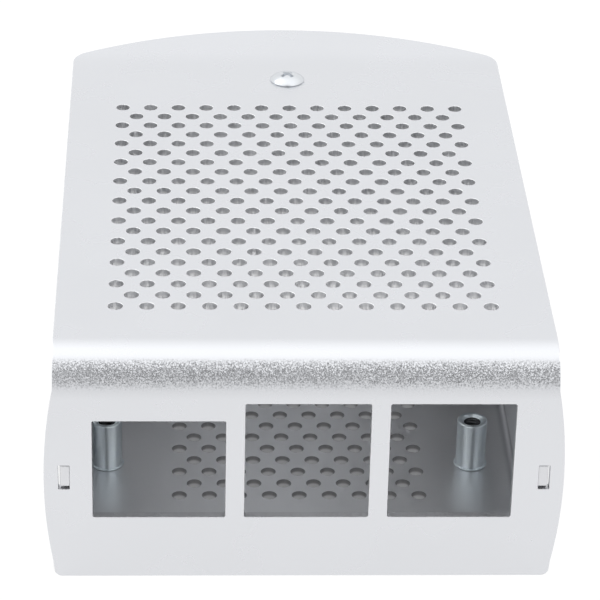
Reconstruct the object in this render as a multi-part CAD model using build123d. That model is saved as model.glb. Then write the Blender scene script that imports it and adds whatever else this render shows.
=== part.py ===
from build123d import *
import os
from math import cos, pi, radians, sin, sqrt, tan

# Sheet metal case for a small single board computer. All sizes in millimetres.
# While it is drawn, X = 0 is the middle of the case, Y = 0 is the outer face of the front
# panel and Z = 0 is the underside. At the end everything moves so that the origin is the
# bottom centre of the whole case.

# Board that the case holds
board_width = 56.0
board_length = 85.0
board_thickness = 1.4
hole_inset = 3.5            # mounting holes to the side edges and to the rear edge
hole_spacing_long = 58.0    # between the mounting holes, along the board

# Folded sheet
sheet = 1.2
case_height = 31.8          # to the flat of the top
end_gap = 0.6               # board to the front panel and to the rear wall
left_gap = 0.6              # board to the left wall, where its connectors come through
right_gap = 2.4             # board to the right wall
overhang = 0.8              # top beyond the side walls
seat_gap = 0.1              # between one folded sheet and the other
fold_gap = 0.2              # between the rear wall and the side walls

# Cover
front_bend_inside = 4.5
panel_bulge = 1.25          # how far the side edges of the front panel bow out
panel_corner = 1.0
lip_fold_back = 1.1         # fold line of the lip, behind the inside of the rear wall
lip_angle = 8.0
lip_bend = 34.0             # radius of the gentle fold at the lip
lip_middle = 9.2            # lip, from its fold line to the middle of its round end
lip_side = 1.75             # the same at the side edges
lip_corner = 3.0

# Vents
vent_diameter = 1.9         # each vent is a polygon with the area of this round hole
top_vent_sides = 6
floor_vent_sides = 4
vent_pitch_across = 3.98
vent_pitch_along = 2.94
top_vent_rows = 21
top_vent_columns = 13
top_vent_start = 13.75      # first row, behind the front panel's face
floor_vent_rows = 19
floor_vent_columns = 9
floor_vent_start = 17.2
floor_vent_middle = 0.2     # middle of the floor's vents, from the middle of the case

# Windows in the front panel, from the middle of the board
window_below = 0.5          # windows start this far under the top of the board
network_centre = -17.4
network_width = 16.7
network_height = 14.1
serial_centres = (1.2, 19.3)
serial_width = 15.7
serial_height = 16.6

# Openings in the left wall: how far each lies from the rear edge of the board
power_from_rear = 10.6
power_width = 12.0
power_height = 7.4
power_axis = 1.4            # opening's centre above the board
video_from_rear = 32.0
video_width = 18.0
video_height = 8.4
video_axis = 3.1
audio_from_rear = 53.5
audio_diameter = 8.0
audio_axis = 3.0

# Notch for the memory card in the rear wall
card_width = 16.0
card_height = 5.4
card_axis = -2.9            # notch's centre above the top of the board
card_corner = 1.5

# Tray
tray_bend_inside = 0.8
corner_relief = 0.4         # notch past the bends at the rear corners
tab_height = 3.2
tab_axis = 14.95            # middle of the front tabs above the underside
tab_short = 0.15            # tab ends this far inside the front face
slot_gap_inner = 0.02       # tab to the edge of its slot, towards the middle of the case
slot_gap_outer = 0.22
slot_gap_above = 0.02
slot_gap_below = 0.3

# Ear that carries the cover screw
ear_width = 12.0
ear_reach = 4.2             # ear beyond the screw's axis
ear_corner = 2.0
ear_relief = 1.0
screw_inset = 5.2           # screw's axis to the inside of the rear wall

# Standoffs
standoff_height = 6.8       # above the floor
standoff_diameter = 4.0
standoff_bore = 2.06
standoff_foot = 5.0         # across the flats of the pressed-in foot
standoff_foot_depth = 0.7

# Cover screw and its nut
screw_diameter = 2.5
screw_length = 5.0
screw_head = 5.0
screw_head_height = 1.1
screw_head_edge = 0.3       # straight rim below the domed top
recess_length = 2.7
recess_width = 0.7
recess_depth = 0.8
cover_hole = 3.0
running_gap = 0.03          # screw to nut
nut_diameter = 5.6
nut_height = 1.6
nut_pilot = 3.8
nut_pilot_height = 0.9

# Worked out from the sizes above
board_middle = (left_gap - right_gap) / 2
half_inside = (board_width + left_gap + right_gap) / 2
half_outside = half_inside + sheet
half_top = half_outside + overhang
board_front = sheet + end_gap
board_rear = board_front + board_length
rear_inside = board_rear + end_gap
rear_outside = rear_inside + sheet
board_bottom = sheet + standoff_height
board_top = board_bottom + board_thickness
cover_underside = case_height - sheet
tray_front = sheet + seat_gap
wall_top = cover_underside - seat_gap
front_bend_outside = front_bend_inside + sheet
tray_bend_outside = tray_bend_inside + sheet
wall_nose = front_bend_inside + seat_gap  # rounded front corner of each side wall
lip_fold = rear_inside + lip_fold_back
lip_end = lip_fold + lip_middle * cos(radians(lip_angle))
lip_side_end = lip_fold + lip_side * cos(radians(lip_angle))
screw_y = rear_inside - screw_inset
ear_front = screw_y - ear_reach
case_length = lip_end
cover_wide = half_top + panel_bulge + sheet
rear_hole_y = board_rear - hole_inset
standoff_places = {
    f"standoff_{end}_{side}": (board_middle + across, along)
    for end, along in (("front", rear_hole_y - hole_spacing_long), ("rear", rear_hole_y))
    for side, across in (("left", hole_inset - board_width / 2), ("right", board_width / 2 - hole_inset))
}


def prism(sketch, plane, start, end):
    """A solid from a sketch on a plane, between two distances along the plane's normal."""
    return extrude(plane.offset(start) * sketch, end - start)


def along_y(sketch, start, end):
    """A solid from a sketch of X and Z, between two depths."""
    return prism(sketch, Plane.XZ, -end, -start)


def across_x(sketch, start, end):
    """A solid from a sketch of Y and Z, between two places across the case."""
    return prism(sketch, Plane.YZ, start, end)


def block(x0, x1, y0, y1, z0, z1):
    """A plain box between two corners."""
    box = Box(x1 - x0, y1 - y0, z1 - z0, align=(Align.MIN, Align.MIN, Align.MIN))
    return Pos(x0, y0, z0) * box


def outline(points, radii):
    """A closed face with a corner radius at each of its points."""
    return make_face(FilletPolyline(*points, radius=radii, close=True))


def vents(sides, rows, columns, middle, start, bottom, top):
    """Cutters for a staggered field of vents: every other row is one vent shorter."""
    equal_area = sqrt(pi / (sides * tan(pi / sides)))
    vent = RegularPolygon(equal_area * vent_diameter / 2, sides, major_radius=False)
    places = []
    for row in range(rows):
        count = columns - row % 2
        for column in range(count):
            across = middle + (column - (count - 1) / 2) * vent_pitch_across
            places.append(Pos(across, start + row * vent_pitch_along))
    field = Sketch() + [place * vent for place in places]
    return prism(field, Plane.XY, bottom, top)


def cover_section():
    """The folded cover seen from its side: panel, front bend, top and kicked-up lip."""
    rise = radians(lip_angle)
    end = Vector(lip_end + sheet, case_height + (lip_end + sheet - lip_fold) * tan(rise))
    under_end = end + sheet * Vector(sin(rise), -cos(rise))
    points = (
        (0, 0),
        (0, case_height),
        (lip_fold, case_height),
        end,
        under_end,
        (lip_fold + sheet * tan(rise / 2), cover_underside),
        (sheet, cover_underside),
        (sheet, 0),
    )
    radii = (0, front_bend_outside, lip_bend, 0, 0, lip_bend + sheet, front_bend_inside, 0)
    return outline(points, radii)


def panel_outline():
    """Front view of the cover: straight blank with a shallow round bulge on each side."""
    blank = outline(
        (
            (-half_top, 0),
            (half_top, 0),
            (half_top, case_height + sheet),
            (-half_top, case_height + sheet),
        ),
        (panel_corner, panel_corner, 0, 0),
    )
    low, high = panel_corner, case_height - front_bend_inside
    shape = blank
    for side in (-1, 1):
        edge = side * half_top
        bow = ThreePointArc((edge, low), (edge + side * panel_bulge, (low + high) / 2), (edge, high))
        shape += make_face([*bow.edges(), *Line((edge, high), (edge, low)).edges()])
    return shape


def top_outline():
    """Top view of the cover behind the front bend, with the lip's round end."""
    start = front_bend_outside
    end = ThreePointArc((half_top, lip_side_end), (0, lip_end), (-half_top, lip_side_end))
    sides = Polyline(
        (-half_top, lip_side_end), (-half_top, start), (half_top, start), (half_top, lip_side_end)
    )
    shape = make_face([*end.edges(), *sides.edges()])
    corners = shape.vertices().filter_by(lambda corner: corner.Y > start + sheet)
    return fillet(corners, lip_corner)


def cover_windows():
    """Cutters for the three connector windows."""
    sill = board_top - window_below
    windows = [(network_centre, network_width, network_height)]
    windows += [(centre, serial_width, serial_height) for centre in serial_centres]
    cutters = []
    for centre, width, height in windows:
        window = Pos(board_middle + centre, sill + height / 2) * Rectangle(width, height)
        cutters.append(along_y(window, -sheet, 2 * sheet))
    return cutters


def tab_slots():
    """Cutters for the slots that the tray's front tabs pass through."""
    inner = half_inside - slot_gap_inner
    outer = half_outside + slot_gap_outer
    bottom = tab_axis - tab_height / 2 - slot_gap_below
    top = tab_axis + tab_height / 2 + slot_gap_above
    cutters = []
    for side in (-1, 1):
        middle = Pos(side * (inner + outer) / 2, (bottom + top) / 2)
        slot = middle * Rectangle(outer - inner, top - bottom)
        cutters.append(along_y(slot, -sheet, 2 * sheet))
    return cutters


def top_cover():
    """Folded cover: section swept across the case and cut to its front and top outlines."""
    folded = across_x(cover_section(), -cover_wide, cover_wide)
    clip = along_y(panel_outline(), -sheet, front_bend_outside)
    clip += prism(top_outline(), Plane.XY, 0, 2 * case_height)
    cover = folded & clip
    cover -= cover_windows()
    cover -= tab_slots()
    cover -= vents(
        top_vent_sides,
        top_vent_rows,
        top_vent_columns,
        0,
        top_vent_start,
        cover_underside - sheet,
        case_height + sheet,
    )
    cover -= Pos(0, screw_y, case_height) * Cylinder(cover_hole / 2, 4 * sheet)
    return cover


def tray_channel():
    """Floor and side walls as one folded channel, with the front tabs."""
    section = outline(
        (
            (-half_outside, wall_top),
            (-half_outside, 0),
            (half_outside, 0),
            (half_outside, wall_top),
            (half_inside, wall_top),
            (half_inside, sheet),
            (-half_inside, sheet),
            (-half_inside, wall_top),
        ),
        (0, tray_bend_outside, tray_bend_outside, 0, 0, tray_bend_inside, tray_bend_inside, 0),
    )
    channel = along_y(section, tray_front, rear_outside)
    side_view = outline(
        (
            (tray_front, 0),
            (rear_outside, 0),
            (rear_outside, wall_top),
            (tray_front, wall_top),
        ),
        (0, 0, 0, wall_nose),
    )
    channel &= across_x(side_view, -half_outside, half_outside)
    floor_end = rear_inside - tray_bend_inside
    channel -= block(
        -half_inside, half_inside, floor_end, rear_outside + sheet, -sheet, tray_bend_outside
    )
    low, high = tab_axis - tab_height / 2, tab_axis + tab_height / 2
    for side in (-1, 1):
        inner, outer = sorted((side * half_inside, side * half_outside))
        channel += block(inner, outer, tab_short, tray_front, low, high)
    return channel


def rear_wall():
    """Rear wall with its bend, and the ear folded forward under the cover."""
    floor_lap = rear_inside - tray_bend_inside - sheet
    half_wall = half_inside - fold_gap
    wall_section = outline(
        (
            (floor_lap, 0),
            (rear_outside, 0),
            (rear_outside, wall_top),
            (rear_inside, wall_top),
            (rear_inside, sheet),
            (floor_lap, sheet),
        ),
        (0, tray_bend_outside, 0, 0, tray_bend_inside, 0),
    )
    wall = across_x(wall_section, -half_wall, half_wall)
    notch_bottom = cover_underside - tray_bend_outside - ear_relief
    half_notch = ear_width / 2 + ear_relief
    wall -= block(
        -half_notch, half_notch, rear_inside - sheet, rear_outside + sheet, notch_bottom, case_height
    )
    ear_section = outline(
        (
            (rear_outside, notch_bottom),
            (rear_outside, cover_underside),
            (ear_front, cover_underside),
            (ear_front, cover_underside - sheet),
            (rear_inside, cover_underside - sheet),
            (rear_inside, notch_bottom),
        ),
        (0, tray_bend_outside, 0, 0, tray_bend_inside, 0),
    )
    ear = across_x(ear_section, -ear_width / 2, ear_width / 2)
    ear_plan = outline(
        (
            (-ear_width / 2, ear_front),
            (ear_width / 2, ear_front),
            (ear_width / 2, rear_outside),
            (-ear_width / 2, rear_outside),
        ),
        (ear_corner, ear_corner, 0, 0),
    )
    ear &= prism(ear_plan, Plane.XY, 0, case_height)
    ear -= Pos(0, screw_y, cover_underside) * Cylinder(nut_pilot / 2, 4 * sheet)
    card = Pos(board_middle, board_top + card_axis) * RectangleRounded(
        card_width, card_height, card_corner
    )
    wall -= along_y(card, rear_inside - sheet, rear_outside + sheet)
    return wall + ear


def side_openings():
    """Cutters for the power, video and audio connectors in the left wall."""
    start, end = -half_outside - sheet, -half_inside + sheet
    power = Pos(board_rear - power_from_rear, board_top + power_axis)
    power *= Rectangle(power_width, power_height)
    video = Pos(board_rear - video_from_rear, board_top + video_axis)
    video *= Rectangle(video_width, video_height)
    audio = Pos(board_rear - audio_from_rear, board_top + audio_axis)
    audio *= Circle(audio_diameter / 2)
    return [across_x(shape, start, end) for shape in (power, video, audio)]


def base_tray():
    """Folded tray: channel, rear wall, corner notches, openings and vents."""
    tray = tray_channel() + rear_wall()
    notch = tray_bend_outside + corner_relief
    for side in (-1, 1):
        inner, outer = sorted((side * (half_outside - notch), side * (half_outside + sheet)))
        tray -= block(inner, outer, rear_outside - notch, rear_outside + sheet, -sheet, notch)
    tray -= side_openings()
    tray -= vents(
        floor_vent_sides,
        floor_vent_rows,
        floor_vent_columns,
        floor_vent_middle,
        floor_vent_start,
        -sheet,
        2 * sheet,
    )
    for x, y in standoff_places.values():
        foot = RegularPolygon(standoff_foot / 2, 6, major_radius=False)
        tray -= Pos(x, y) * extrude(foot, standoff_foot_depth)
        tray -= Pos(x, y, sheet) * Cylinder(standoff_diameter / 2, 2 * sheet)
    return tray


def standoff():
    """Threaded standoff with its hexagonal foot pressed into the underside of the floor."""
    foot = extrude(RegularPolygon(standoff_foot / 2, 6, major_radius=False), standoff_foot_depth)
    up = (Align.CENTER, Align.CENTER, Align.MIN)
    barrel = Cylinder(standoff_diameter / 2, board_bottom, align=up)
    bore = Cylinder(standoff_bore / 2, board_bottom, align=up)
    return foot + barrel - bore


def clinch_nut():
    """Round nut under the ear, its pilot pressed into the ear's hole."""
    bore = screw_diameter / 2 + running_gap
    seat = cover_underside - sheet
    section = Polyline(
        (bore, seat - nut_height),
        (nut_diameter / 2, seat - nut_height),
        (nut_diameter / 2, seat),
        (nut_pilot / 2, seat),
        (nut_pilot / 2, seat + nut_pilot_height),
        (bore, seat + nut_pilot_height),
        close=True,
    )
    return Pos(0, screw_y) * revolve(Plane.XZ * make_face(section), Axis.Z)


def cover_screw():
    """Low pan head screw with a cross recess."""
    shank = screw_diameter / 2
    head = screw_head / 2
    tip = case_height - screw_length
    crown = case_height + screw_head_height
    rise = screw_head_height - screw_head_edge
    shoulder = crown - rise
    dome_radius = (head**2 + rise**2) / (2 * rise)
    halfway = crown - dome_radius + sqrt(dome_radius**2 - (head / 2) ** 2)
    dome = ThreePointArc((head, shoulder), (head / 2, halfway), (0, crown))
    sides = Polyline(
        (0, crown),
        (0, tip),
        (shank, tip),
        (shank, case_height),
        (head, case_height),
        (head, shoulder),
    )
    body = revolve(Plane.XZ * make_face([*dome.edges(), *sides.edges()]), Axis.Z)
    for turn in (0, 90):
        arm = Box(recess_length, recess_width, 2 * recess_depth)
        body -= Pos(0, 0, crown) * Rot(0, 0, turn) * arm
    return Pos(0, screw_y) * body


def main():
    nodes = {
        "top_cover": top_cover(),
        "base_tray": base_tray(),
        "clinch_nut": clinch_nut(),
        "cover_screw": cover_screw(),
    }
    for name, (x, y) in standoff_places.items():
        nodes[name] = Pos(x, y) * standoff()
    os.makedirs("parts", exist_ok=True)
    to_centre = Pos(0, -case_length / 2)
    for name, shape in nodes.items():
        placed = to_centre * shape
        placed.label = name
        export_step(placed, f"parts/{name}.step")
        print(name, round(placed.volume, 1))


main()
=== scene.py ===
from math import asin, atan2, ceil, cos, pi, radians, sin, sqrt, tan

import bmesh
import bpy
from mathutils import Matrix, Vector
from mathutils.geometry import delaunay_2d_cdt


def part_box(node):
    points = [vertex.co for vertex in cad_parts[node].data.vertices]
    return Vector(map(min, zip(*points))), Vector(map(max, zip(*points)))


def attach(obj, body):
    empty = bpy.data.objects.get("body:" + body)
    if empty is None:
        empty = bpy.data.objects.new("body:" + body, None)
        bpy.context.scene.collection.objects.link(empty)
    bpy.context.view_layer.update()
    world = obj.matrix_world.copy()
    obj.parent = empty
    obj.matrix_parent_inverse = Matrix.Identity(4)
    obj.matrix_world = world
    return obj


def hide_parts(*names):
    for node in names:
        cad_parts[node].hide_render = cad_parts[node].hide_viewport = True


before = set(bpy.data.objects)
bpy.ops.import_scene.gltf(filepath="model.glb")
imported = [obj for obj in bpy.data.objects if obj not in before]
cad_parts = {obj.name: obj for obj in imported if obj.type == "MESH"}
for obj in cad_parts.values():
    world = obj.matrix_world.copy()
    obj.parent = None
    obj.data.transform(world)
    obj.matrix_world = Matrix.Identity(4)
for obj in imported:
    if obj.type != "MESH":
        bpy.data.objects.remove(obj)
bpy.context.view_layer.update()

# Sizes are in millimetres, measured from the front panel's outer face and the underside,
# and become metres in the shared frame when a mesh is made.
MM = 0.001
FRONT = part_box("top_cover")[0].y / MM

# Board, as in the CAD model
BOARD_X = -0.9              # middle of the board
BOARD_TOP = 9.4
BOARD_REAR = 86.8
HOLE_INSET = 3.5            # rear mounting holes to the rear edge of the board
HOLES_ACROSS = 49.0
HOLES_ALONG = 58.0

# Case, as in the CAD model
SHEET = 1.2
CASE_HEIGHT = 31.8          # to the flat of the top
HALF_TOP = 31.5
OVERHANG = 0.8              # top beyond the side walls
END_GAP = 0.6               # board to the rear wall
REAR_INSIDE = BOARD_REAR + END_GAP
REAR_OUTSIDE = REAR_INSIDE + SHEET
WALL_INSIDE = HALF_TOP - OVERHANG - SHEET
SEAT_GAP = 0.1              # between one folded sheet and the other
FOLD_GAP = 0.2              # between the rear wall and the side walls
TAB_AXIS = 14.95            # middle of the front tabs
TAB_HEIGHT = 3.2
SCREW_INSET = 5.2           # screw's axis to the inside of the rear wall
SCREW_Y = REAR_INSIDE - SCREW_INSET
VENT_RADIUS = 0.95
VENT_ACROSS = 3.98          # from one vent to the next in a row
VENT_ALONG = 2.94           # from one row to the next

# Detail that the CAD model leaves plain
ROLL = 0.08                 # rounding of the cut edges on the outside
BREAK = 0.05                # rounding on the inside, and on both sides of the finest cuts
WINDOW_CORNER = 0.25
PRESS_GAP = 0.01            # round what is pressed into a sheet
THREAD_PITCH = 0.45
VENT_POINTS = 28            # points round a vent
HOLE_POINTS = 36            # points round another hole
ROUND_POINTS = 48           # points round a turned piece
MERGED = 1e-7               # points nearer than this become one, in metres


def new_piece(name, points, faces):
    """An object in the shared frame from points in millimetres."""
    mesh = bpy.data.meshes.new(name)
    mesh.from_pydata([(x * MM, (y + FRONT) * MM, z * MM) for x, y, z in points], [], faces)
    piece = bpy.data.objects.new(name, mesh)
    bpy.context.scene.collection.objects.link(piece)
    return piece


# Outlines on the flat sheet. A loop is a list of (x, y, nx, ny): points in order with the
# metal on the left hand, and the direction that faces out of the metal.

def rounded(corners, steps=5):
    """A loop from (x, y, radius) corners; a corner with no radius stays a smooth point."""
    loop = []
    for i, (x, y, radius) in enumerate(corners):
        ax, ay, _ = corners[i - 1]
        bx, by, _ = corners[(i + 1) % len(corners)]
        inward = Vector((x - ax, y - ay)).normalized()
        onward = Vector((bx - x, by - y)).normalized()
        cross = inward.x * onward.y - inward.y * onward.x
        bend = atan2(cross, inward.dot(onward))
        if radius == 0 or abs(bend) < 1e-6:
            middle = (inward + onward).normalized()
            loop.append((x, y, middle.y, -middle.x))
            continue
        back = radius * tan(abs(bend) / 2)
        side = 1 if bend > 0 else -1
        cx = x - inward.x * back - side * inward.y * radius
        cy = y - inward.y * back + side * inward.x * radius
        start = atan2(-side * inward.x, side * inward.y)
        for k in range(steps + 1):
            angle = start + bend * k / steps
            nx, ny = cos(angle), sin(angle)
            loop.append((cx + radius * nx, cy + radius * ny, side * nx, side * ny))
    return loop


def both_sides(right):
    """A rounded loop from the corners of its right half, which start in front."""
    left = [(-x, y, radius) for x, y, radius in reversed(right) if x > 1e-6]
    return rounded(right + left, 6)


def round_hole(x, y, radius, points=HOLE_POINTS):
    """A round hole, walked clockwise so that the metal stays on the left."""
    loop = []
    for k in range(points):
        angle = -2 * pi * k / points
        loop.append((x + radius * cos(angle), y + radius * sin(angle), -cos(angle), -sin(angle)))
    return loop


def window(x, y, width, height, radius, steps=5):
    """A rounded rectangular hole about a centre."""
    w, h = width / 2, height / 2
    corners = [(x - w, y - h), (x - w, y + h), (x + w, y + h), (x + w, y - h)]
    return rounded([(*corner, radius) for corner in corners], steps)


def six_sided_hole(x, y, flats):
    """A hexagonal hole with as many points as a round one, spread over its sides."""
    loop = []
    reach = flats / sqrt(3)
    per_side = HOLE_POINTS // 6
    for side in range(6):
        a = radians(-60 * side)
        b = radians(-60 * side - 60)
        for k in range(per_side):
            t = k / per_side
            px = reach * (cos(a) * (1 - t) + cos(b) * t)
            py = reach * (sin(a) * (1 - t) + sin(b) * t)
            facing = a if k == 0 else (a + b) / 2
            mitre = 1 / cos(pi / 6) if k == 0 else 1
            loop.append((x + px, y + py, -mitre * cos(facing), -mitre * sin(facing)))
    return loop


def vent_field(rows, columns, middle, start):
    """A staggered field of round vents, every other row one vent shorter."""
    holes = []
    for row in range(rows):
        count = columns - row % 2
        for column in range(count):
            x = middle + (column - (count - 1) / 2) * VENT_ACROSS
            holes.append(round_hole(x, start + VENT_ALONG * row, VENT_RADIUS, VENT_POINTS))
    return holes


def spread(start, end, steps):
    """Places at equal steps, with both ends."""
    return [start + (end - start) * k / steps for k in range(steps + 1)]


def cut_at(loop, axis, places, reach):
    """Adds a point wherever the loop crosses one of the fold lines within their reach."""
    result = []
    for i, here in enumerate(loop):
        there = loop[(i + 1) % len(loop)]
        result.append(here)
        found = []
        for place in places:
            a, b = here[axis] - place, there[axis] - place
            if a * b < 0 and min(abs(a), abs(b)) > 1e-4:
                t = a / (a - b)
                point = tuple(p + (q - p) * t for p, q in zip(here, there))
                if abs(point[1 - axis]) < reach:
                    found.append((t, point))
        result.extend(point for t, point in sorted(found))
    return result


def fold_lines(loop, axis, places, reach):
    """Pairs of points that each fold line joins across the sheet."""
    pairs = []
    for place in places:
        on_line = [
            i for i, point in enumerate(loop)
            if abs(point[axis] - place) < 1e-4 and abs(point[1 - axis]) < reach
        ]
        on_line.sort(key=lambda i: loop[i][1 - axis])
        pairs.extend(zip(on_line[0::2], on_line[1::2]))
    return pairs


def inside(loop, x, y):
    """Whether a point lies inside a loop."""
    found = False
    for i, a in enumerate(loop):
        b = loop[i - 1]
        if (a[1] > y) != (b[1] > y) and x < (b[0] - a[0]) * (y - a[1]) / (b[1] - a[1]) + a[0]:
            found = not found
    return found


# Sheets. A ring is a list of (place on the flat sheet, depth, normal) round one loop.

FOOT_DEPTH = 0.7            # of the standoffs' feet, pressed into the floor from below


def rolled(loop, roll, face, out, angles):
    """Rings round the rounded edge of one face, which lies at a depth and faces out."""
    rings = []
    for angle in angles:
        back = roll * (1 - sin(angle))
        depth = face - out * roll * (1 - cos(angle))
        rings.append([
            ((x - nx * back, y - ny * back), depth, (nx * sin(angle), ny * sin(angle), out * cos(angle)))
            for x, y, nx, ny in loop
        ])
    return rings


def edge_rings(loop, rolls, opposite=None):
    """The cut edge of a sheet, from its first face round both rounded edges to the other.

    Where the hole is another one on the opposite face, a ledge joins the two.
    """
    angles = spread(0, pi / 2, 3)
    rings = rolled(loop, rolls[0], 0, 1, angles)
    if opposite:
        ledge = FOOT_DEPTH - SHEET
        rings.append([((x, y), ledge, (nx, ny, 0)) for x, y, nx, ny in loop])
        rings.append([((x, y), ledge, (0, 0, -1)) for x, y, nx, ny in loop])
        rings.append([((x, y), ledge, (0, 0, -1)) for x, y, nx, ny in opposite])
        rings.append([((x, y), ledge, (nx, ny, 0)) for x, y, nx, ny in opposite])
        loop = opposite
    return rings + rolled(loop, rolls[1], -SHEET, -1, angles[::-1])


def filled(rings, folds, flip):
    """The triangles of one face, from (first point, ring) of its outline and its holes."""
    flat, edges, owner, index = [], [], [], []
    for number, (start, ring) in enumerate(rings):
        base = len(flat)
        count = len(ring)
        flat += [Vector(place) for place, depth, normal in ring]
        owner += [number] * count
        index += range(start, start + count)
        edges += [(base + k, base + (k + 1) % count) for k in range(count)]
        if number == 0:
            edges += folds
    outline = [tuple(place) for place in flat[: owner.count(0)]]
    made = delaunay_2d_cdt(flat, edges, [], 0, 1e-7)
    source = [item[0] if item else None for item in made[3]]
    faces = []
    for triangle in made[2]:
        corners = [source[v] for v in triangle]
        if None in corners:
            continue
        owners = {owner[c] for c in corners}
        middle = sum((flat[c] for c in corners), Vector((0, 0))) / 3
        if len(owners) == 1 and (owners != {0} or not inside(outline, *middle)):
            continue
        area = (flat[corners[1]] - flat[corners[0]]).cross(flat[corners[2]] - flat[corners[0]])
        if (area < 0) != flip:
            corners.reverse()
        faces.append(tuple(index[c] for c in corners))
    return faces


def folded_sheet(name, outer, holes, folds, place, rolls, stepped=None, fine=()):
    """A sheet with holes, cut flat and then folded by a function, with true edge normals.

    Its materials are those of the first face, the cut edges and the other face.
    """
    stepped = stepped or {}
    points, normals, faces = [], [], []
    loops = [edge_rings(outer, rolls)]
    for i, hole in enumerate(holes):
        small = i in fine or i in stepped
        loops.append(edge_rings(hole, (BREAK, BREAK) if small else rolls, stepped.get(i)))
    first, last = [], []
    for rings in loops:
        starts = []
        for ring in rings:
            starts.append(len(points))
            for flat, depth, normal in ring:
                spot, facing = place(*flat, depth, normal)
                points.append(spot)
                normals.append(Vector(facing).normalized())
        count = len(rings[0])
        for ring, (low, high) in enumerate(zip(starts, starts[1:])):
            if rings[ring][0][:2] == rings[ring + 1][0][:2]:
                continue
            for k in range(count):
                n = (k + 1) % count
                faces.append((low + k, high + k, high + n, low + n))
        first.append((starts[0], rings[0]))
        last.append((starts[-1], rings[-1]))
    materials = [1] * len(faces)
    for side, flip, material in ((first, False, 0), (last, True, 2)):
        triangles = filled(side, folds, flip)
        faces += triangles
        materials += [material] * len(triangles)
    piece = new_piece(name, points, faces)
    piece.data.polygons.foreach_set("material_index", materials)
    piece.data.polygons.foreach_set("use_smooth", [True] * len(faces))
    piece.data.normals_split_custom_set_from_vertices(normals)
    piece.data.update()
    return piece


def turned(place, start, radius, limit):
    """How far a fold has turned at a place, and how far the place lies past the fold."""
    angle = min((place - start) / radius, limit)
    return angle, place - start - radius * angle


# Cover, laid flat with its outside face up

BEND = 5.7                  # outer radius of the front bend
PANEL_FLAT = CASE_HEIGHT - BEND
BEND_END = PANEL_FLAT + BEND * pi / 2
TOP_SHIFT = BEND_END - BEND  # from a place along the top to the same place on the flat sheet
PANEL_CORNER = 1.0
BULGE = 1.247               # how far the side edges of the front panel bow out
BULGE_TOP = PANEL_FLAT + SHEET
LIP_FOLD_BACK = 1.1         # fold line of the lip, behind the inside of the rear wall
LIP_FOLD = REAR_INSIDE + LIP_FOLD_BACK
LIP_RADIUS = 34.0
LIP_RISE = radians(8.0)
LIP_START = LIP_FOLD - LIP_RADIUS * tan(LIP_RISE / 2)
LIP_MIDDLE = 9.2            # lip, from its fold line to the middle of its round end
LIP_SIDE = 1.75             # the same at the side edges
LIP_CORNER = 3.0
SILL = BOARD_TOP - 0.5      # lower edge of the windows
TOP_VENT_START = 13.75      # first row of vents, behind the panel's face
SCREW_HOLE = 1.5            # radius

# Middle from the board's middle, width and height of each window in the front panel
FRONT_WINDOWS = ((-17.4, 16.7, 14.1), (1.2, 15.7, 16.6), (19.3, 15.7, 16.6))

# Gaps between a tab and its slot
SLOT_INNER, SLOT_OUTER = 0.02, 0.22
SLOT_ABOVE, SLOT_BELOW = 0.02, 0.3
SLOT_CORNER = 0.12


def on_panel(z):
    """Where a height on the panel or on the bend lies on the flat sheet."""
    if z <= PANEL_FLAT:
        return z
    return PANEL_FLAT + BEND * asin((z - PANEL_FLAT) / BEND)


def on_lip(y):
    """Where a place along the top or the kicked-up lip lies on the flat sheet."""
    if y <= LIP_START:
        return y + TOP_SHIFT
    risen = (y - LIP_START) / LIP_RADIUS
    if risen < sin(LIP_RISE):
        return LIP_START + TOP_SHIFT + LIP_RADIUS * asin(risen)
    rest = y - LIP_START - LIP_RADIUS * sin(LIP_RISE)
    return LIP_START + TOP_SHIFT + LIP_RADIUS * LIP_RISE + rest / cos(LIP_RISE)


def fold_cover(x, s, depth, normal):
    """From the flat cover to its folded place."""
    if s <= PANEL_FLAT:
        y, z, along, up = -depth, s, (0, 1), (-1, 0)
    elif s <= BEND_END:
        a, _ = turned(s, PANEL_FLAT, BEND, pi / 2)
        y = BEND - (BEND + depth) * cos(a)
        z = PANEL_FLAT + (BEND + depth) * sin(a)
        along, up = (sin(a), cos(a)), (-cos(a), sin(a))
    elif s <= LIP_START + TOP_SHIFT:
        y, z, along, up = s - TOP_SHIFT, CASE_HEIGHT + depth, (1, 0), (0, 1)
    else:
        a, rest = turned(s - TOP_SHIFT, LIP_START, LIP_RADIUS, LIP_RISE)
        y = LIP_START + (LIP_RADIUS - depth) * sin(a) + rest * cos(a)
        z = CASE_HEIGHT + LIP_RADIUS - (LIP_RADIUS - depth) * cos(a) + rest * sin(a)
        along, up = (cos(a), sin(a)), (-sin(a), cos(a))
    nx, ns, nd = normal
    return (x, y, z), (nx, ns * along[0] + nd * up[0], ns * along[1] + nd * up[1])


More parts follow.
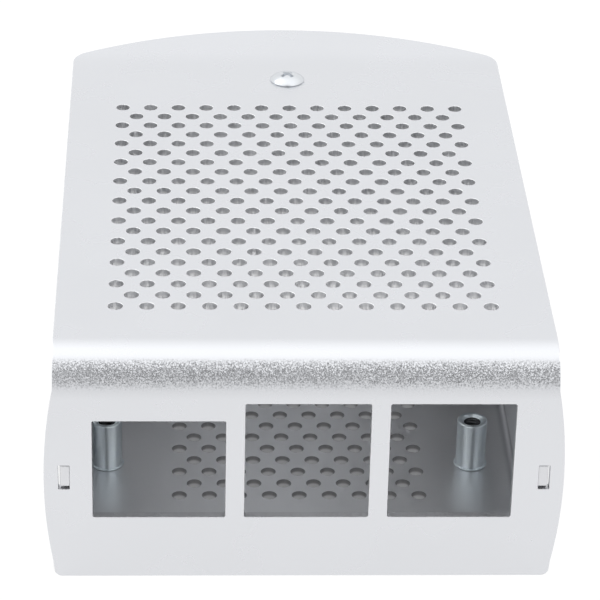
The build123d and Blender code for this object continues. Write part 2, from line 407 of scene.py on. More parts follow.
def cover_outline():
    """Flat outline of the cover: bulged panel sides, straight top sides and a round lip."""
    chord = BULGE_TOP - PANEL_CORNER
    radius = (chord**2 / 4 + BULGE**2) / (2 * BULGE)
    half = asin(chord / 2 / radius)
    right = [(HALF_TOP, 0.0, PANEL_CORNER)]
    for a in spread(-half, half, 20)[1:-1]:
        z = (PANEL_CORNER + BULGE_TOP) / 2 + radius * sin(a)
        right.append((HALF_TOP + BULGE - radius * (1 - cos(a)), on_panel(z), 0))
    right.append((HALF_TOP, on_panel(BULGE_TOP), 0))

    # The lip's lower edge reaches further back than its upper one, by what is taken off here
    shorter = SHEET * sin(LIP_RISE) + 0.01
    side_end = LIP_FOLD + LIP_SIDE * cos(LIP_RISE) - shorter
    tip = LIP_FOLD + LIP_MIDDLE * cos(LIP_RISE) - shorter
    rise = tip - side_end
    sweep = (HALF_TOP**2 + rise**2) / (2 * rise)
    cx = HALF_TOP - LIP_CORNER
    cy = tip - sweep + sqrt((sweep - LIP_CORNER) ** 2 - cx**2)
    meet = atan2(cy - tip + sweep, cx)
    for a in spread(0, meet, 8):
        right.append((cx + LIP_CORNER * cos(a), on_lip(cy + LIP_CORNER * sin(a)), 0))
    for a in spread(meet, pi / 2, 14)[1:]:
        right.append((sweep * cos(a), on_lip(tip - sweep + sweep * sin(a)), 0))
    return both_sides(right)


def make_cover(name):
    """The cover with its windows, tab slots, vents and screw hole."""
    folds = spread(PANEL_FLAT, BEND_END, 14)
    folds += spread(LIP_START + TOP_SHIFT, LIP_START + TOP_SHIFT + LIP_RADIUS * LIP_RISE, 7)
    loop = cut_at(cover_outline(), 1, folds, HALF_TOP + BULGE)
    holes = []
    for middle, width, height in FRONT_WINDOWS:
        holes.append(window(BOARD_X + middle, SILL + height / 2, width, height, WINDOW_CORNER))
    slots = (len(holes), len(holes) + 1)
    slot_x = WALL_INSIDE + (SHEET + SLOT_OUTER - SLOT_INNER) / 2
    slot_z = TAB_AXIS + (SLOT_ABOVE - SLOT_BELOW) / 2
    width = SHEET + SLOT_INNER + SLOT_OUTER
    height = TAB_HEIGHT + SLOT_ABOVE + SLOT_BELOW
    for side in (-1, 1):
        holes.append(window(side * slot_x, slot_z, width, height, SLOT_CORNER, steps=4))
    holes += vent_field(rows=21, columns=13, middle=0, start=TOP_VENT_START + TOP_SHIFT)
    holes.append(round_hole(0, SCREW_Y + TOP_SHIFT, SCREW_HOLE))
    lines = fold_lines(loop, 1, folds, HALF_TOP + BULGE)
    return folded_sheet(name, loop, holes, lines, fold_cover, (ROLL, BREAK), fine=slots)


# Tray, laid flat with its inside face up

INSIDE = 0.8                # inside radius of the folds
ARC = INSIDE * pi / 2
FOLD_TOP = SHEET + INSIDE   # height where the side and rear folds end
WALL_X = WALL_INSIDE - INSIDE  # where the floor ends and the side folds start
WALL_U = WALL_X + ARC
REAR_Y = REAR_INSIDE - INSIDE
REAR_V = REAR_Y + ARC
EAR_Z = CASE_HEIGHT - 2 * SHEET - INSIDE
EAR_V = REAR_V + EAR_Z - FOLD_TOP
EAR_FLAT = EAR_V + ARC
WALL_TOP = CASE_HEIGHT - SHEET - SEAT_GAP
WALL_FRONT = SHEET + SEAT_GAP
NOSE = BEND - SHEET + SEAT_GAP  # radius of the side walls under the front bend
TAB_SHORT = 0.15            # tab ends this far inside the front face
CORNER_RELIEF = 0.4         # notch past the folds at the rear corners
EAR_HALF = 6.0              # half the ear's width
EAR_RELIEF = 1.0            # notch on each side of the ear
EAR_REACH = 4.2             # ear beyond the screw's axis
EAR_HOLE_V = EAR_FLAT + REAR_Y - SCREW_Y
FLOOR_VENT_START = 17.2     # first row of vents, behind the panel's face
FLOOR_VENT_MIDDLE = 0.2

# Middle before the board's rear edge and above its top, width, height and corner radius of
# the openings in the left wall: power, video and the round one for audio
LEFT_OPENINGS = (
    (10.6, 1.4, 12.0, 7.4, 1.2),
    (32.0, 3.1, 18.0, 8.4, 1.2),
    (53.5, 3.0, 8.0, 8.0, 3.999),
)
CARD_NOTCH = (16.0, 5.4, 1.5)  # width, height and corner radius
CARD_Z = BOARD_TOP - 2.9    # middle of the card notch

FOOT_FLATS = 5.0            # across the flats of a standoff's foot
BARREL = 2.0                # radius of a standoff
COLLAR = 1.9                # radius of the nut's collar
STANDOFFS = {
    f"standoff_{end}_{side}": (BOARD_X + HOLES_ACROSS / 2 * across, BOARD_REAR - HOLE_INSET - along)
    for end, along in (("front", HOLES_ALONG), ("rear", 0))
    for side, across in (("left", -1), ("right", 1))
}


def wall_u(z):
    """A height on a side wall, as a distance across the flat sheet."""
    return WALL_U + z - FOLD_TOP


def rear_v(z):
    """A height on the rear wall, as a distance along the flat sheet."""
    return REAR_V + z - FOLD_TOP


def fold_tray(u, v, depth, normal):
    """From the flat tray to its folded place; all that lies past EAR_V turns forward with the ear."""
    nu, nv, nd = normal
    inner = INSIDE - depth
    if abs(u) > WALL_U or (abs(u) > WALL_X and v < REAR_Y):
        side = 1 if u > 0 else -1
        a, rest = turned(abs(u), WALL_X, INSIDE, pi / 2)
        spot = (side * (WALL_X + inner * sin(a)), v, FOLD_TOP - inner * cos(a) + rest)
        across = nu * side
        return spot, (side * (across * cos(a) - nd * sin(a)), nv, across * sin(a) + nd * cos(a))
    if v <= REAR_Y:
        return (u, v, SHEET + depth), normal
    if v <= EAR_V:
        a, rest = turned(v, REAR_Y, INSIDE, pi / 2)
        spot = (u, REAR_Y + inner * sin(a), FOLD_TOP - inner * cos(a) + rest)
        return spot, (nu, nv * cos(a) - nd * sin(a), nv * sin(a) + nd * cos(a))
    a, rest = turned(v, EAR_V, INSIDE, pi / 2)
    spot = (u, REAR_Y + inner * cos(a) - rest, EAR_Z + inner * sin(a))
    return spot, (nu, -nv * sin(a) - nd * cos(a), nv * cos(a) - nd * sin(a))


def tray_outline():
    """Flat outline of the tray: floor, side walls with tabs, rear wall and ear."""
    tab_low, tab_high = wall_u(TAB_AXIS - TAB_HEIGHT / 2), wall_u(TAB_AXIS + TAB_HEIGHT / 2)
    relief_u, relief_v = wall_u(FOLD_TOP + CORNER_RELIEF), rear_v(FOLD_TOP + CORNER_RELIEF)
    floor_half, floor_end = WALL_X - CORNER_RELIEF, REAR_Y - CORNER_RELIEF
    rear_half = WALL_INSIDE - FOLD_GAP
    shoulder = EAR_HALF + EAR_RELIEF
    notch = rear_v(EAR_Z - EAR_RELIEF)
    return both_sides([
        (tab_low, WALL_FRONT, 0.25),
        (tab_low, TAB_SHORT, 0.25),
        (tab_high, TAB_SHORT, 0.35),
        (tab_high, WALL_FRONT, 0.25),
        (wall_u(WALL_TOP), WALL_FRONT, NOSE),
        (wall_u(WALL_TOP), REAR_OUTSIDE, 0.5),
        (relief_u, REAR_OUTSIDE, 0.3),
        (relief_u, floor_end, 0.3),
        (floor_half, floor_end, 0.2),
        (floor_half, relief_v, 0.3),
        (rear_half, relief_v, 0.3),
        (rear_half, rear_v(WALL_TOP), 0.5),
        (shoulder, rear_v(WALL_TOP), 0.4),
        (shoulder, notch, 0.45),
        (EAR_HALF, notch, 0.45),
        (EAR_HALF, EAR_HOLE_V + EAR_REACH, 2.0),
    ])


def make_tray(name):
    """The tray with its standoffs' holes, left openings, card notch, ear hole and vents."""
    side_folds = [sign * u for sign in (-1, 1) for u in spread(WALL_X, WALL_U, 7)]
    loop = tray_outline()
    lines = []
    bends = (
        (0, side_folds, REAR_Y),
        (1, spread(REAR_Y, REAR_V, 7), WALL_X),
        (1, spread(EAR_V, EAR_FLAT, 7), EAR_HALF + EAR_RELIEF / 2),
    )
    for axis, folds, reach in bends:
        loop = cut_at(loop, axis, folds, reach)
    for axis, folds, reach in bends:
        lines += fold_lines(loop, axis, folds, reach)
    holes = []
    stepped = {}
    for x, y in STANDOFFS.values():
        stepped[len(holes)] = six_sided_hole(x, y, FOOT_FLATS + 2 * PRESS_GAP)
        holes.append(round_hole(x, y, BARREL + PRESS_GAP))
    for before, above, width, height, radius in LEFT_OPENINGS:
        centre = -wall_u(BOARD_TOP + above)
        holes.append(window(centre, BOARD_REAR - before, height, width, radius, steps=10))
    holes.append(window(BOARD_X, rear_v(CARD_Z), *CARD_NOTCH, steps=8))
    holes.append(round_hole(0, EAR_HOLE_V, COLLAR + PRESS_GAP))
    holes += vent_field(rows=19, columns=9, middle=FLOOR_VENT_MIDDLE, start=FLOOR_VENT_START)
    return folded_sheet(name, loop, holes, lines, fold_tray, (BREAK, ROLL), stepped)


# Turned pieces

SIX_SIDED = True
STANDOFF_TOP = 8.0          # height above the underside
STANDOFF_CREST, STANDOFF_ROOT = 1.12, 1.27  # radii of the bore's thread
NUT_SEAT = EAR_Z + INSIDE
NUT_HEIGHT = 1.6            # below the ear
NUT_RADIUS = 2.8
NUT_CREST, NUT_ROOT = 1.28, 1.38
HEAD_RADIUS = 2.5
HEAD_EDGE = 0.18            # rim of the screw's head below its dome
SHANK_ROOT, SHANK_CREST = 1.0, 1.24
SCREW_LENGTH = 5.0          # below the head


def tube_faces(rings, count, inwards=False):
    """Faces that join rings of points, one ring to the next."""
    faces = []
    for low in range(0, (rings - 1) * count, count):
        high = low + count
        for k in range(count):
            n = (k + 1) % count
            face = (low + k, low + n, high + n, high + k)
            faces.append(face[::-1] if inwards else face)
    return faces


def lathe(name, rings, x, y):
    """A mesh from rings of (radius, height) or (radius, height, SIX_SIDED) about an upright axis."""
    points = []
    for radius, height, *six_sided in rings:
        for k in range(ROUND_POINTS):
            a = 2 * pi * k / ROUND_POINTS
            reach = radius / cos(a % (pi / 3) - pi / 6) if six_sided else radius
            points.append((x + reach * cos(a), y + reach * sin(a), height))
    return new_piece(name, points, tube_faces(len(rings), ROUND_POINTS))


def helix(name, x, y, low, high, root, crest):
    """A threaded wall about an upright axis: a true helix of shallow V grooves, faded at its ends."""
    rows = ceil((high - low) / THREAD_PITCH * 6)
    fading = 0.6 * THREAD_PITCH
    outside = root < crest
    rest = min(root, crest)
    points = []
    for z in spread(low, high, rows):
        fade = min(1.0, (z - low) / fading, (high - z) / fading)
        for k in range(ROUND_POINTS):
            a = 2 * pi * k / ROUND_POINTS
            wave = abs(2 * ((z / THREAD_PITCH - k / ROUND_POINTS) % 1.0) - 1)
            wave = min(max(wave * 1.3 - 0.15, 0.0), 1.0)
            radius = rest + (root + (crest - root) * wave - rest) * fade
            points.append((x + radius * cos(a), y + radius * sin(a), z))
    return new_piece(name, points, tube_faces(rows + 1, ROUND_POINTS, inwards=not outside))


def closed(mesh):
    """Merges the points of a mesh that coincide and turns its faces outwards."""
    made = bmesh.new()
    made.from_mesh(mesh)
    bmesh.ops.remove_doubles(made, verts=made.verts, dist=MERGED)
    bmesh.ops.recalc_face_normals(made, faces=made.faces)
    made.to_mesh(mesh)
    made.free()


def joined(name, pieces, angle=35):
    """One object from several meshes, smooth except where its faces meet sharply."""
    made = bmesh.new()
    for piece in pieces:
        made.from_mesh(piece.data)
    bmesh.ops.remove_doubles(made, verts=made.verts, dist=MERGED)
    mesh = bpy.data.meshes.new(name)
    made.to_mesh(mesh)
    made.free()
    for piece in pieces:
        bpy.data.objects.remove(piece)
    mesh.polygons.foreach_set("use_smooth", [True] * len(mesh.polygons))
    mesh.set_sharp_from_angle(angle=radians(angle))
    result = bpy.data.objects.new(name, mesh)
    bpy.context.scene.collection.objects.link(result)
    return result


def with_bore(name, rings, x, y, low, high, root, crest):
    """A turned body with a threaded bore, which has the second material."""
    body = lathe(name + "_body", rings, x, y)
    bore = helix(name + "_bore", x, y, low, high, root, crest)
    bore.data.polygons.foreach_set("material_index", [1] * len(bore.data.polygons))
    return joined(name, [body, bore])


def swage(centre, radius, low, high, steps=6):
    """Rings of a rounded collar."""
    rings = []
    for a in spread(0, pi, steps):
        rings.append((centre + radius * sin(a), low + (high - low) * (1 - cos(a)) / 2))
    return rings


def make_standoff(name, x, y):
    """Threaded standoff: six-sided foot, swaged collar, barrel and chamfered mouth."""
    foot, top = FOOT_FLATS / 2, STANDOFF_TOP
    low, high = 0.35, top - 0.3
    rings = [
        (STANDOFF_CREST, low),
        (STANDOFF_CREST + 0.2, 0.0),
        (foot - 0.12, 0.0, SIX_SIDED),
        (foot - 0.04, 0.03, SIX_SIDED),
        (foot, 0.12, SIX_SIDED),
        (foot, FOOT_DEPTH - 0.01, SIX_SIDED),
        (BARREL, FOOT_DEPTH),
        (BARREL, SHEET),
        (BARREL + 0.1, SHEET + 0.01),
        *swage(BARREL + 0.03, 0.2, SHEET + 0.02, SHEET + 0.26),
        (BARREL - 0.01, SHEET + 0.42),
        (BARREL, SHEET + 0.55),
        (BARREL, top - 0.14),
        (BARREL - 0.02, top - 0.07),
        (BARREL - 0.08, top - 0.02),
        (BARREL - 0.15, top),
        (STANDOFF_CREST + 0.32, top),
        (STANDOFF_CREST + 0.27, top - 0.03),
        (STANDOFF_CREST, high),
    ]
    return with_bore(name, rings, x, y, low, high, STANDOFF_ROOT, STANDOFF_CREST)


def make_nut(name):
    """Clinch nut under the ear, with a collar pressed into it."""
    low = NUT_SEAT - NUT_HEIGHT
    thread_low, thread_high = NUT_SEAT - 1.4, NUT_SEAT + 0.7
    rings = [
        (NUT_CREST, thread_low),
        (1.5, low),
        (NUT_RADIUS - 0.18, low),
        (NUT_RADIUS - 0.06, low + 0.05),
        (NUT_RADIUS, low + 0.2),
        (NUT_RADIUS, NUT_SEAT),
        (COLLAR, NUT_SEAT),
        (COLLAR, NUT_SEAT + 0.8),
        (COLLAR - 0.08, NUT_SEAT + 0.9),
        (1.5, NUT_SEAT + 0.9),
        (NUT_CREST, thread_high),
    ]
    return with_bore(name, rings, 0, SCREW_Y, thread_low, thread_high, NUT_ROOT, NUT_CREST)


def recess_cutter(crown):
    """A tapered cross for the screw's recess, from levels of (height, reach, half width)."""
    levels = ((0.3, 1.3, 0.36), (-0.1, 1.2, 0.31), (-0.62, 0.9, 0.24), (-0.86, 0.32, 0.18))
    points = []
    for rise, reach, half in levels:
        for quarter in range(4):
            slant = radians(42 + 90 * quarter)
            for px, py in ((reach, -half), (reach, half), (half, half)):
                x = px * cos(slant) - py * sin(slant)
                y = px * sin(slant) + py * cos(slant)
                points.append((x, SCREW_Y + y, crown + rise))
    count = len(points) // len(levels)
    faces = tube_faces(len(levels), count)
    faces.append(tuple(range(count)))
    faces.append(tuple(range(len(points) - count, len(points))))
    cutter = new_piece("recess", points, faces)
    closed(cutter.data)
    return cutter


def make_screw_head(name, seat, height):
    """A domed head with a thin rim and a cross recess."""
    rise = height - HEAD_EDGE
    dome = (HEAD_RADIUS**2 + rise**2) / (2 * rise)
    corner = 0.1
    under = HEAD_RADIUS - corner
    rings = [(0.0, seat + 0.001), (under, seat + 0.001)]
    for a in spread(0, pi / 2, 4)[1:]:
        rings.append((under + corner * sin(a), seat + corner * (1 - cos(a))))
    for k, a in enumerate(spread(asin(HEAD_RADIUS / dome), 0, 14)):
        soft = 0.03 if k == 0 else 0.0
        rings.append((dome * sin(a) - soft * 0.3, seat + height - dome + dome * cos(a) - soft))
    blank = lathe(name + "_blank", rings, 0, SCREW_Y)
    closed(blank.data)
    cutter = recess_cutter(seat + height)
    cut = blank.modifiers.new("recess", "BOOLEAN")
    cut.operation = "DIFFERENCE"
    cut.solver = "EXACT"
    cut.object = cutter
    soften = blank.modifiers.new("soften", "BEVEL")
    soften.limit_method = "ANGLE"
    soften.angle_limit = radians(40)
    soften.width = 0.04 * MM
    soften.segments = 2
    bpy.context.view_layer.update()
    shown = blank.evaluated_get(bpy.context.evaluated_depsgraph_get())
    mesh = bpy.data.meshes.new_from_object(shown)
    bpy.data.objects.remove(blank)
    bpy.data.objects.remove(cutter)
    head = bpy.data.objects.new(name, mesh)
    bpy.context.scene.collection.objects.link(head)
    return head


def make_screw(name):
    """Low pan head screw with a cross recess and a threaded shank."""
    seat = CASE_HEIGHT
    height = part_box("cover_screw")[1].z / MM - seat
    tip = seat - SCREW_LENGTH
    chamfer = tip + 0.25
    head = make_screw_head(name + "_head", seat, height)
    shank = helix(name + "_shank", 0, SCREW_Y, chamfer, seat + 0.05, SHANK_ROOT, SHANK_CREST)
    rings = [(0.0, tip), (0.72, tip), (0.8, tip + 0.02), (SHANK_ROOT, chamfer)]
    point = lathe(name + "_point", rings, 0, SCREW_Y)
    return joined(name, [head, shank, point], 30)


cover = make_cover("cover_sheet")
tray = make_tray("tray_sheet")
standoffs = {name: make_standoff(name + "_turned", x, y) for name, (x, y) in STANDOFFS.items()}
nut = make_nut("clinch_nut_turned")
screw = make_screw("cover_screw_turned")


# Materials

CLOUD = (0.3, 0.7)          # the range that most of a noise's values lie in


def new_material(name):
    """A material with its node tree and its shader."""
    material = bpy.data.materials.new(name)
    material.use_nodes = True
    tree = material.node_tree
    return material, tree, tree.nodes["Principled BSDF"]


def add(tree, kind, **settings):
    """A new node with its settings."""
    node = tree.nodes.new(kind)
    for key, value in settings.items():
        setattr(node, key, value)
    return node


def coordinates(tree, kind="Object"):
    """A texture coordinate as one vector."""
    return add(tree, "ShaderNodeTexCoord").outputs[kind]


def split(tree, vector):
    """The X, Y and Z of a vector."""
    apart = add(tree, "ShaderNodeSeparateXYZ")
    tree.links.new(vector, apart.inputs[0])
    return apart.outputs


def stretched(tree, vector, scale):
    """A vector with its X, Y and Z scaled."""
    node = add(tree, "ShaderNodeMapping")
    node.inputs["Scale"].default_value = scale
    tree.links.new(vector, node.inputs["Vector"])
    return node.outputs["Vector"]


def noise(tree, where, scale, detail, rough=0.55, output="Fac"):
    """Soft noise over a vector."""
    node = add(tree, "ShaderNodeTexNoise")
    node.inputs["Scale"].default_value = scale
    node.inputs["Detail"].default_value = detail
    node.inputs["Roughness"].default_value = rough
    tree.links.new(where, node.inputs["Vector"])
    return node.outputs[output]


def ranged(tree, value, source, target=(0, 1), eased=False):
    """A value moved from one range to another and held within it."""
    node = add(tree, "ShaderNodeMapRange")
    node.interpolation_type = "SMOOTHSTEP" if eased else "LINEAR"
    node.inputs["From Min"].default_value = source[0]
    node.inputs["From Max"].default_value = source[1]
    node.inputs["To Min"].default_value = target[0]
    node.inputs["To Max"].default_value = target[1]
    tree.links.new(value, node.inputs["Value"])
    return node.outputs["Result"]


def combined(tree, operation, *values):
    """The result of a calculation with sockets."""
    node = add(tree, "ShaderNodeMath", operation=operation)
    for value, socket in zip(values, node.inputs):
        tree.links.new(value, socket)
    return node.outputs[0]


def blended(tree, factor, first, second):
    """A colour between two, each a socket or three numbers."""
    node = add(tree, "ShaderNodeMix", data_type="RGBA")
    tree.links.new(factor, node.inputs["Factor"])
    for colour, socket in ((first, node.inputs["A"]), (second, node.inputs["B"])):
        if isinstance(colour, tuple):
            socket.default_value = (*colour, 1)
        else:
            tree.links.new(colour, socket)
    return node.outputs["Result"]


def cloudy_metal(tree, shader, dark, light, smooth, rough, scale, detail):
    """Sets a metal's colour and roughness, which vary a little in soft clouds."""
    cloud = noise(tree, coordinates(tree), scale, detail)
    shader.inputs["Metallic"].default_value = 1.0
    tree.links.new(blended(tree, ranged(tree, cloud, CLOUD), dark, light), shader.inputs["Base Color"])
    tree.links.new(ranged(tree, cloud, CLOUD, (smooth, rough)), shader.inputs["Roughness"])


def repaint(material, factor, colour):
    """Changes a material's base colour to another one, as far as a factor says."""
    tree = material.node_tree
    base = tree.nodes["Principled BSDF"].inputs["Base Color"]
    tree.links.new(blended(tree, factor, base.links[0].from_socket, colour), base)


def millimetres(*places):
    """Places given in millimetres, as metres."""
    return tuple(place * MM for place in places)


def blasted(name, dark, light, smooth, rough, tilt, size, bent=None, drawn=1.0):
    """Bead-blasted, clear anodised aluminium: small soft pits tip the surface every way.

    Where the sheet is stretched round the front bend, the pits tip it as far as bent says.
    On cut edges the punch draws them out upright, as far as drawn says.
    """
    material, tree, shader = new_material(name)
    cloudy_metal(tree, shader, dark, light, smooth, rough, scale=70, detail=4)
    where = coordinates(tree)
    upright = stretched(tree, where, (1.0, 1.0, 1 / drawn))
    pits = noise(tree, upright, 1 / (size * MM), 1.5, 0.5, "Color")
    centred = add(tree, "ShaderNodeVectorMath", operation="SUBTRACT")
    centred.inputs[1].default_value = (0.5, 0.5, 0.5)
    tree.links.new(pits, centred.inputs[0])
    lean = add(tree, "ShaderNodeVectorMath", operation="SCALE")
    lean.inputs["Scale"].default_value = tilt
    tree.links.new(centred.outputs[0], lean.inputs[0])
    if bent:
        places = split(tree, where)
        ahead = millimetres(FRONT + 0.26 * BEND, FRONT + 0.44 * BEND)
        up = millimetres(PANEL_FLAT + 0.05 * BEND, PANEL_FLAT + 0.56 * BEND)
        in_front = ranged(tree, places["Y"], ahead, (1, 0), eased=True)
        above = ranged(tree, places["Z"], up, eased=True)
        on_bend = combined(tree, "MULTIPLY", in_front, above)
        tree.links.new(ranged(tree, on_bend, (0, 1), (tilt, bent)), lean.inputs["Scale"])
    tipped = add(tree, "ShaderNodeVectorMath", operation="ADD")
    tree.links.new(lean.outputs[0], tipped.inputs[0])
    tree.links.new(add(tree, "ShaderNodeNewGeometry").outputs["Normal"], tipped.inputs[1])
    facing = add(tree, "ShaderNodeVectorMath", operation="NORMALIZE")
    tree.links.new(tipped.outputs[0], facing.inputs[0])
    tree.links.new(facing.outputs[0], shader.inputs["Normal"])
    return material


def torn_and_painted_shade_above(material, height, dark):
    """Darkens the walls of the floor's holes above a height, where the punch tore the metal: partly the
    torn metal's own dullness, partly painted shade.
    """
    tree = material.node_tree
    z = split(tree, coordinates(tree))["Z"]
    over = ranged(tree, z, millimetres(height - 0.2, height + 0.2), eased=True)
    in_floor = ranged(tree, z, millimetres(SHEET + 0.01, SHEET + 0.02), (1, 0))
    repaint(material, combined(tree, "MULTIPLY", over, in_floor), dark)


def burnished_with_painted_light_and_shade(material, light, dark):
    """Colours the walls of the top's holes with painted light below and painted shade above; the light
    lower band is also where the punch rubbed them smooth.
    """
    tree = material.node_tree
    z = split(tree, coordinates(tree))["Z"]
    in_top = ranged(tree, z, millimetres(CASE_HEIGHT - 1.4, CASE_HEIGHT - 1.3))
    upper = ranged(tree, z, millimetres(CASE_HEIGHT - 0.8, CASE_HEIGHT - 0.45), eased=True)
    repaint(material, in_top, blended(tree, upper, light, dark))


def painted_shade_on_folds(material, dark):
    """Darkens the inside of the tray along its side folds and towards the rear of its walls: painted
    shade.
    """
    tree = material.node_tree
    places = split(tree, coordinates(tree))
    sideways = combined(tree, "ABSOLUTE", places["X"])
    outwards = ranged(tree, sideways, millimetres(WALL_X - 0.6, WALL_X + 0.3), eased=True)
    low = ranged(tree, places["Z"], millimetres(1.8, 2.8), (1, 0), eased=True)
    rear = ranged(tree, places["Y"], millimetres(FRONT + 30, FRONT + 50), (0, 0.7), eased=True)
    either = combined(tree, "MAXIMUM", low, rear)
    repaint(material, combined(tree, "MULTIPLY", outwards, either), dark)


def plated(name, dark, light, smooth, rough, lines, turning=0.0):
    """Bright plated steel with turning marks round its axis and a thin cloudy bloom."""
    material, tree, shader = new_material(name)
    cloudy_metal(tree, shader, dark, light, smooth, rough, scale=900, detail=3)
    marks = noise(tree, stretched(tree, coordinates(tree), (0.04, 0.04, 1.0)), 9000, 2)
    bump = add(tree, "ShaderNodeBump")
    bump.inputs["Strength"].default_value = lines
    bump.inputs["Distance"].default_value = 0.01 * MM
    tree.links.new(marks, bump.inputs["Height"])
    tree.links.new(bump.outputs["Normal"], shader.inputs["Normal"])
    if turning:
        shader.inputs["Anisotropic"].default_value = turning
        shader.inputs["Anisotropic Rotation"].default_value = 0.25
        round_axis = add(tree, "ShaderNodeTangent", direction_type="RADIAL", axis="Z")
        tree.links.new(round_axis.outputs[0], shader.inputs["Tangent"])
    return material


outside = {
    "dark": (0.705, 0.714, 0.738),
    "light": (0.715, 0.724, 0.748),
    "smooth": 0.25,
    "rough": 0.29,
    "tilt": 0.05,
    "size": 0.2,
}
cover_face = blasted("cover_blasted", **outside, bent=1.1)
cover_edge = blasted(
    "cover_cut_edge", (0.74, 0.745, 0.765), (0.78, 0.785, 0.805), 0.38, 0.48,
    tilt=1.15, size=0.17, drawn=6.0,
)
# Painted light low in the walls of the top's holes and painted shade higher up.
burnished_with_painted_light_and_shade(cover_edge, light=(0.99, 0.99, 1.0), dark=(0.78, 0.785, 0.8))
# The cover's inside gets a lighter copy of the outside's colour: painted light in the case's shaded
# interior.
cover_back_painted_light = blasted(
    "cover_inside_painted_light", (0.86, 0.865, 0.885), (0.88, 0.885, 0.9), 0.25, 0.33,
    tilt=0.05, size=0.2,
)
# The tray's inside gets a lighter copy of the outside's colour: painted light in the case's shaded
# interior.
tray_face_painted_light = blasted(
    "tray_inside_painted_light", (0.87, 0.88, 0.9), (0.89, 0.9, 0.92), 0.34, 0.4,
    tilt=0.05, size=0.2,
)
# Painted shade along the tray's side folds and towards the rear of its walls.
painted_shade_on_folds(tray_face_painted_light, dark=(0.58, 0.59, 0.61))
tray_edge = blasted(
    "tray_cut_edge", (0.66, 0.665, 0.685), (0.72, 0.725, 0.745), 0.3, 0.4,
    tilt=0.6, size=0.12, drawn=6.0,
)
# Painted shade in the upper part of the floor's holes, over their torn zone.
torn_and_painted_shade_above(tray_edge, height=0.6, dark=(0.34, 0.34, 0.35))
tray_back = blasted("tray_outside", **outside)
zinc = plated("bright_zinc", (0.86, 0.94, 0.99), (0.9, 0.98, 1.0), 0.29, 0.32, lines=0.04, turning=0.9)
# The threads of the bores are near black: painted shade deep inside each bore.
bore_painted_shade = plated("dark_thread_painted_shade", (0.1, 0.105, 0.11), (0.16, 0.165, 0.17), 0.3, 0.4, lines=0.1)
nickel = plated("nickel_plate", (0.65, 0.67, 0.7), (0.7, 0.72, 0.74), 0.2, 0.26, lines=0.15)

for piece, materials, body, node, slot in (
    (cover, (cover_face, cover_edge, cover_back_painted_light), "enclosure", "top_cover", "cover_sheet"),
    (tray, (tray_face_painted_light, tray_edge, tray_back), "enclosure", "base_tray", "tray_sheet"),
    (nut, (zinc, bore_painted_shade), "enclosure", "clinch_nut", "plated_nut"),
    (screw, (nickel,), "screw", "cover_screw", "screw_steel"),
    *((standoffs[name], (zinc, bore_painted_shade), "enclosure", name, "plated_standoff") for name in STANDOFFS),
):
    for material in materials:
        piece.data.materials.append(material)
    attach(piece, body)
    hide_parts(node)


# Floor, which glows, a little less far in front; under the case its glow is turned down as a painted
# shadow, and under the vents turned up a little as painted light

def patch(tree, places, half_wide, middle_long, half_long):
    """1 over a rectangle of the floor with soft sides, and 0 beside it."""
    factors = []
    for axis, middle, half in (("X", 0, half_wide), ("Y", FRONT + middle_long, half_long)):
        offset = add(tree, "ShaderNodeMath", operation="SUBTRACT")
        offset.inputs[1].default_value = middle * MM
        tree.links.new(places[axis], offset.inputs[0])
        distance = combined(tree, "ABSOLUTE", offset.outputs[0])
        factors.append(ranged(tree, distance, millimetres(half - 1.0, half + 1.0), (1, 0), eased=True))
    return combined(tree, "MULTIPLY", *factors)


def pale_floor():
    """The floor's material."""
    material, tree, shader = new_material("pale_floor")
    shader.inputs["Base Color"].default_value = (0.1, 0.1, 0.1, 1)
    shader.inputs["Roughness"].default_value = 0.9
    shader.inputs["Specular IOR Level"].default_value = 0.0
    shader.inputs["Emission Color"].default_value = (1, 1, 1, 1)
    places = split(tree, coordinates(tree))
    under_case = patch(tree, places, half_wide=31.2, middle_long=45.0, half_long=43.4)
    under_vents = patch(tree, places, half_wide=19.0, middle_long=43.5, half_long=29.0)
    in_front = ranged(tree, places["Y"], millimetres(FRONT - 110, FRONT - 30), (0.85, 0.94))
    # Painted shadow under the case and painted light under its vents.
    shade = ranged(tree, under_case, (0, 1), (1, 0.02))
    painted_light_under_vents = ranged(tree, under_vents, (0, 1), (0, 0.28))
    glow = combined(tree, "ADD", combined(tree, "MULTIPLY", in_front, shade), painted_light_under_vents)
    tree.links.new(glow, shader.inputs["Emission Strength"])
    return material


floor_mesh = bpy.data.meshes.new("floor")
floor_mesh.from_pydata([(-6, -6, 0), (6, -6, 0), (6, 6, 0), (-6, 6, 0)], [], [(0, 1, 2, 3)])
floor = bpy.data.objects.new("floor", floor_mesh)
bpy.context.scene.collection.objects.link(floor)
floor.location.z = -0.05 * MM
floor.data.materials.append(pale_floor())


# Light: a pale tent all round. TENT is its brightness by the angle over the case, from the
# horizon behind it to the one in front. SHADE is the shade of whoever stands in front, which
# is narrow from side to side.

TENT = ((0, 1.0), (35, 1.04), (46, 1.12), (74, 1.37), (98, 1.41), (120, 1.3), (150, 1.05), (180, 0.96))
SHADE = ((103, 1.0), (126, 0.12), (150, 0.05), (165, 0.52), (180, 1.0))
BRIGHTEST = 1.45            # a brightness past all of TENT's
SHADE_SIDES = (0.04, 0.4)   # sideways, where the shade ends
TENT_SIDES = (0.4, 0.9)     # sideways, where TENT fades to an even brightness


def profile(tree, angle, stops, scale):
    """A brightness that runs straight between stops of (angle, value)."""
    node = add(tree, "ShaderNodeValToRGB")
    elements = node.color_ramp.elements
    while len(elements) < len(stops):
        elements.new(0.5)
    for element, (place, value) in zip(elements, stops):
        element.position = place / 180
        element.color = (value / scale, value / scale, value / scale, 1)
    tree.links.new(ranged(tree, angle, (0, pi)), node.inputs[0])
    return ranged(tree, node.outputs["Color"], (0, 1), (0, scale))


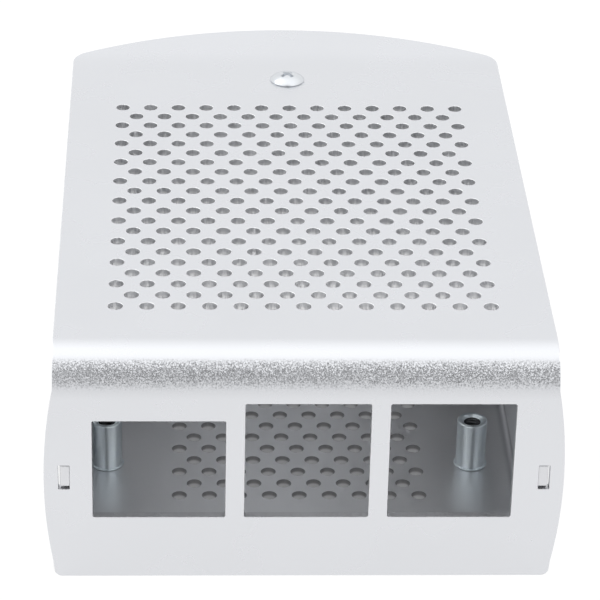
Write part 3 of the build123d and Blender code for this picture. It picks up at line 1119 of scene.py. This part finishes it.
def faded(tree, sideways, limits, value):
    """A brightness that goes to 1 between two limits from side to side."""
    node = add(tree, "ShaderNodeMix")
    tree.links.new(ranged(tree, sideways, limits, eased=True), node.inputs["Factor"])
    tree.links.new(value, node.inputs["A"])
    node.inputs["B"].default_value = 1.0
    return node.outputs["Result"]


scene = bpy.context.scene
world = bpy.data.worlds.new("soft_tent")
scene.world = world
world.use_nodes = True
tree = world.node_tree
sky = tree.nodes["Background"]
places = split(tree, coordinates(tree, "Generated"))
angle = combined(tree, "ARCTAN2", places["Z"], places["Y"])
sideways = combined(tree, "ABSOLUTE", ranged(tree, places["X"], (-1, 1), (-0.99, 1.01)))
shade = faded(tree, sideways, SHADE_SIDES, profile(tree, angle, SHADE, 1.0))
tent = combined(tree, "MULTIPLY", profile(tree, angle, TENT, BRIGHTEST), shade)
tree.links.new(faded(tree, sideways, TENT_SIDES, tent), sky.inputs["Strength"])
sky.inputs["Color"].default_value = (0.995, 1, 1.005, 1)

key_light = bpy.data.lights.new("soft_key", "AREA")
key_light.shape = "DISK"
key_light.size = 0.35
key_light.energy = 1.2
key = bpy.data.objects.new("soft_key", key_light)
scene.collection.objects.link(key)
key.location = (-0.45, 0.25, 0.75)
key.rotation_euler = (Vector((0, 0, 0)) - key.location).to_track_quat("-Z", "Y").to_euler()


# Camera, as fitted to the photo

PHOTO_WIDTH = 600           # in pixels
FOCAL_LENGTH = 3030.52      # in the photo's pixels
EYE = (-16.1284, -322.3084 + FRONT, 218.0341)
YAW, PITCH, TURN = 0.046457, 0.5035495, 0.0244959

forward = Vector((sin(YAW) * cos(PITCH), cos(YAW) * cos(PITCH), -sin(PITCH)))
level = Vector((cos(YAW), -sin(YAW), 0))
upward = level.cross(forward)
right = level * cos(TURN) + upward * sin(TURN)
top = upward * cos(TURN) - level * sin(TURN)
lens = bpy.data.cameras.new("camera")
lens.sensor_width = 36.0
lens.lens = FOCAL_LENGTH / PHOTO_WIDTH * lens.sensor_width
lens.clip_start = 0.01
camera = bpy.data.objects.new("camera", lens)
scene.collection.objects.link(camera)
place = Matrix((right, top, -forward)).transposed().to_4x4()
place.translation = Vector(EYE) * MM
camera.matrix_world = place
scene.camera = camera
scene.view_settings.view_transform = "Standard"
